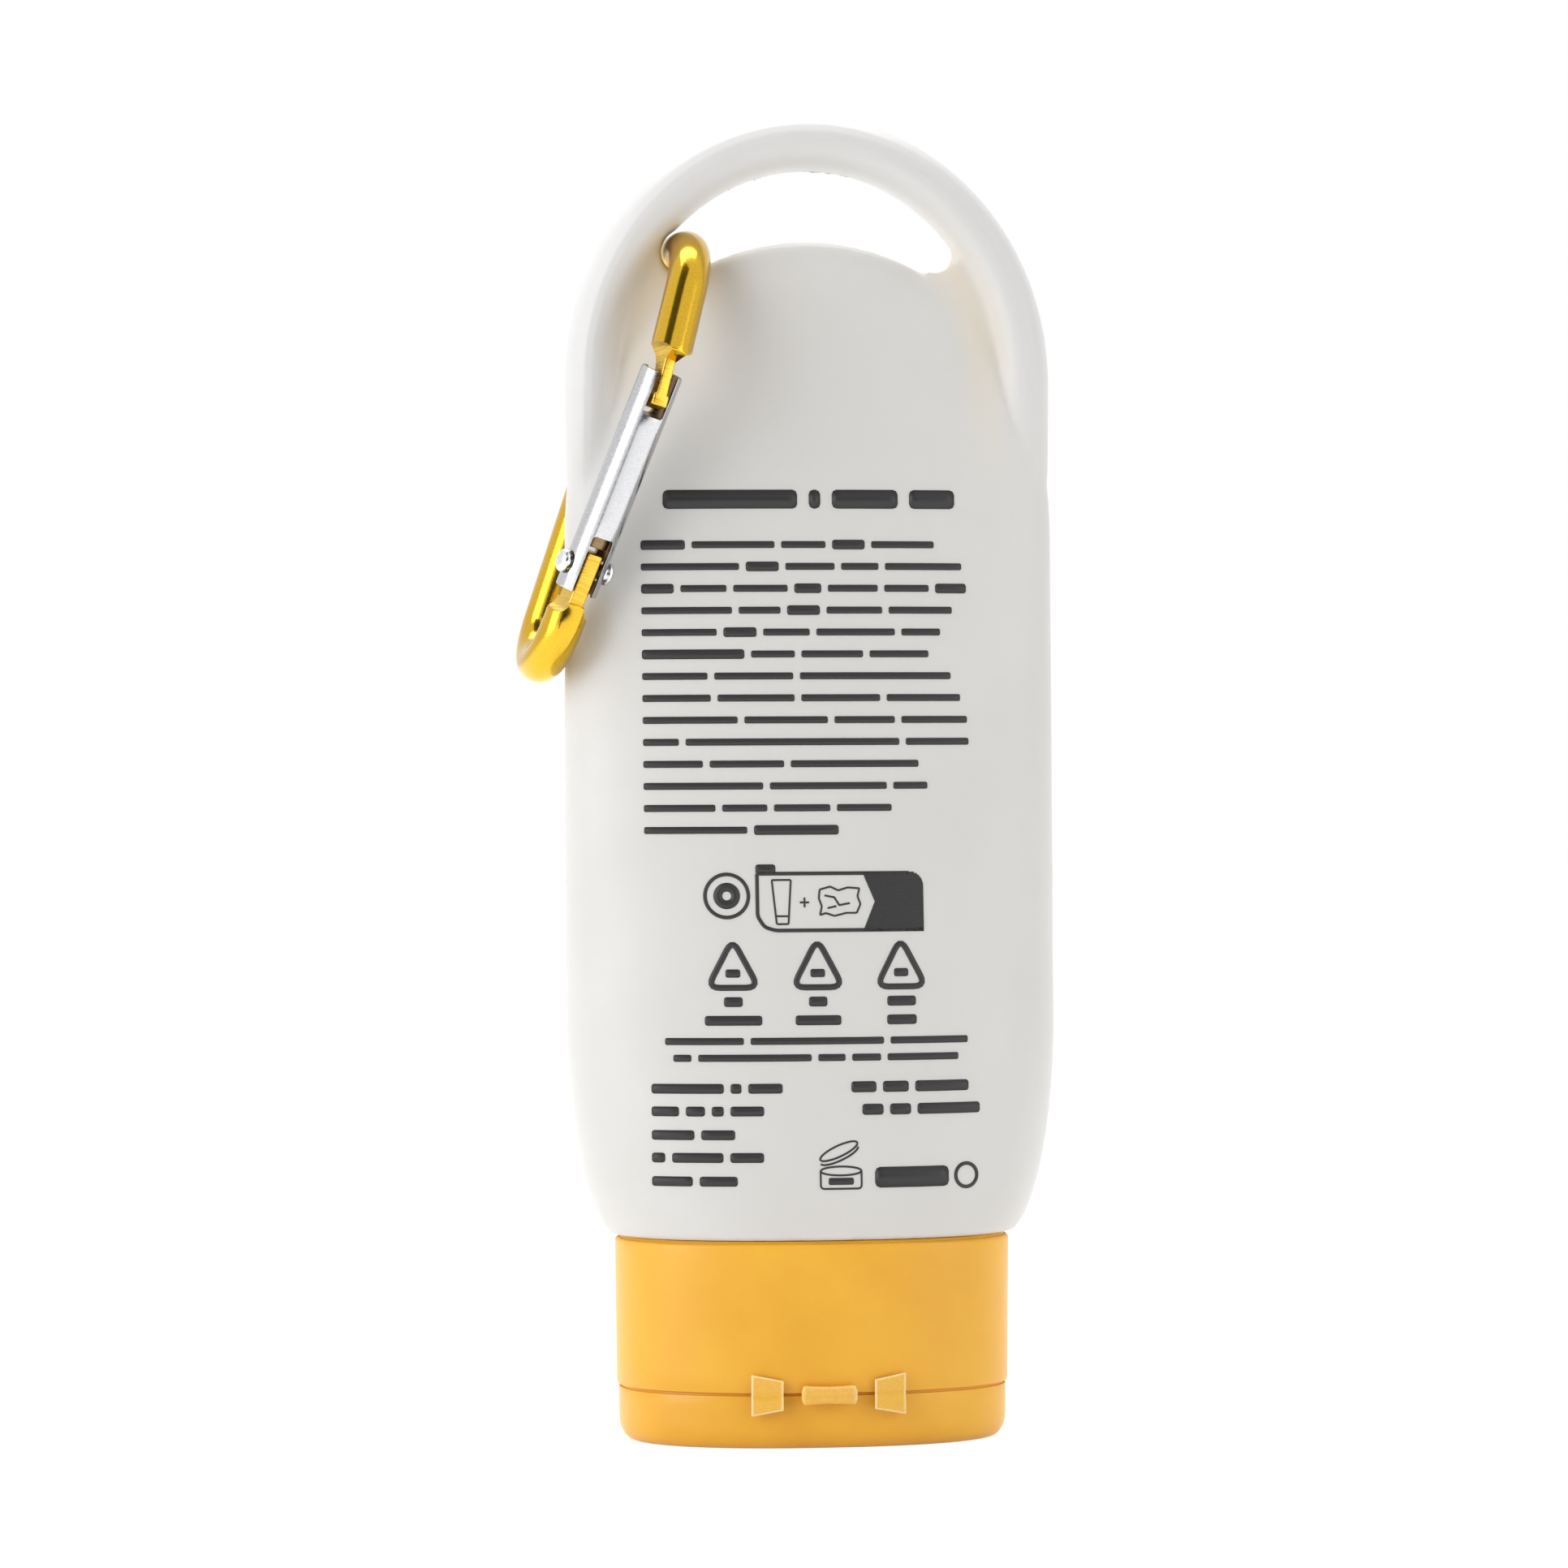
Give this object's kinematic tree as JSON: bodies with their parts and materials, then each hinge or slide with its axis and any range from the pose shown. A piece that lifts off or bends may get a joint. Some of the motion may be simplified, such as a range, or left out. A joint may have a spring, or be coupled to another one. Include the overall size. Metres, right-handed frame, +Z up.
{
  "type": "squeeze bottle with clip",
  "caption": "Oval squeeze bottle of lotion standing on its flip-top cap, with a moulded carrying loop and a small spring-gate clip hung through it.",
  "frame": {"origin": "Centre of the lid's flat outer face, which the closed bottle stands on.", "axes": "+Z up the bottle towards its carrying loop, +X to the right with the printed hinge side in front, -Y towards the printed hinge side."},
  "size_m": [0.0559, 0.0287, 0.1371],
  "materials": {
    "white_polyethylene": "blow-moulded polyethylene, satin",
    "lotion_cream": "thick lotion inside the bottle, not seen from outside",
    "yellow_polypropylene": "injection-moulded polypropylene, soft gloss",
    "thin_polypropylene": "thin see-through web of the cap's own plastic",
    "gold_anodised_aluminium": "gold anodised, polished",
    "bright_aluminium": "plain drawn tube, fine lines along it",
    "rivet_steel": "domed rivet heads, bright",
    "plunger_brass": "turned pin inside the gate",
    "spring_steel": "coiled spring wire"
  },
  "bodies": {
    "bottle_body": {"bottle": "white_polyethylene", "lotion": "lotion_cream", "cap_base": "yellow_polypropylene", "living_hinge": "yellow_polypropylene", "butterfly_strap_left": "thin_polypropylene", "butterfly_strap_right": "thin_polypropylene"},
    "lid": {"cap_lid": "yellow_polypropylene"},
    "carabiner": {"carabiner_hook": "gold_anodised_aluminium", "gate_rivet": "rivet_steel"},
    "gate": {"gate_tube": "bright_aluminium", "gate_spring": "spring_steel", "gate_plunger": "plunger_brass"}
  },
  "joints": [
    {"name": "lid_hinge", "type": "hinge", "parent": "bottle_body", "child": "lid", "pos_m": [0, -0.0141, 0.0056], "axis": [-1, 0, 0], "range_deg": [0, 150], "deforming": ["living_hinge", "butterfly_strap_left", "butterfly_strap_right"]},
    {"name": "carabiner_swing", "type": "hinge", "parent": "bottle_body", "child": "carabiner", "pos_m": [-0.0129, 0.0006, 0.12305], "axis": [0, 1, 0], "range_deg": [0, 175]},
    {"name": "gate_hinge", "type": "hinge", "parent": "carabiner", "child": "gate", "pos_m": [-0.02389, -0.00675, 0.09002], "axis": [-0.9028, -0.3219, 0.2852], "range_deg": [0, 12], "stiffness_Nm_per_rad": 0.002, "springref_deg": -14.32}
  ]
}
